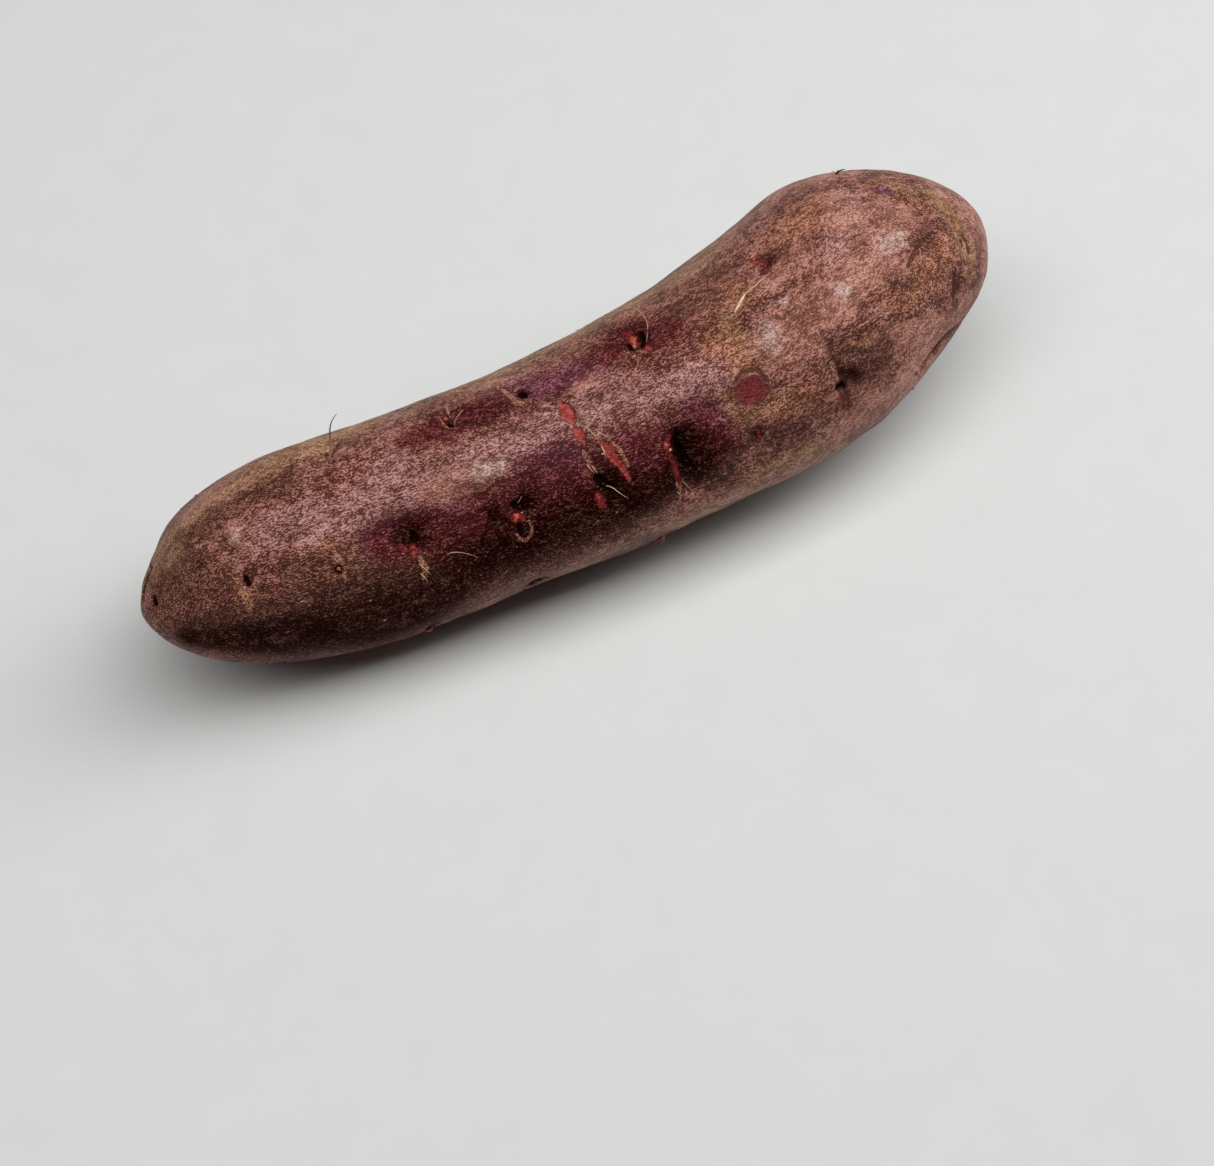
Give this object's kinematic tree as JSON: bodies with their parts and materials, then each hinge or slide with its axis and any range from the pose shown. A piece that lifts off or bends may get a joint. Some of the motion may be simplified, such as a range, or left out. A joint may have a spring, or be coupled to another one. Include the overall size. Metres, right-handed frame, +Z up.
{
  "type": "purple sweet potato",
  "caption": "Whole purple sweet potato root: a slightly bowed, round-ended body with eyes, scars and a broken tail tip.",
  "frame": {"origin": "middle of the bounding box in X and Y, on the surface that the root rests on", "axes": "+X along the root from its broken tail tip to its blunt crown, +Z up from the surface it rests on"},
  "size_m": [0.184, 0.0556, 0.0493],
  "materials": {
    "skin": "thin satin skin, purple-brown with a fine leathery grain"
  },
  "bodies": {
    "root": {"sweet_potato": "skin"}
  },
  "joints": []
}
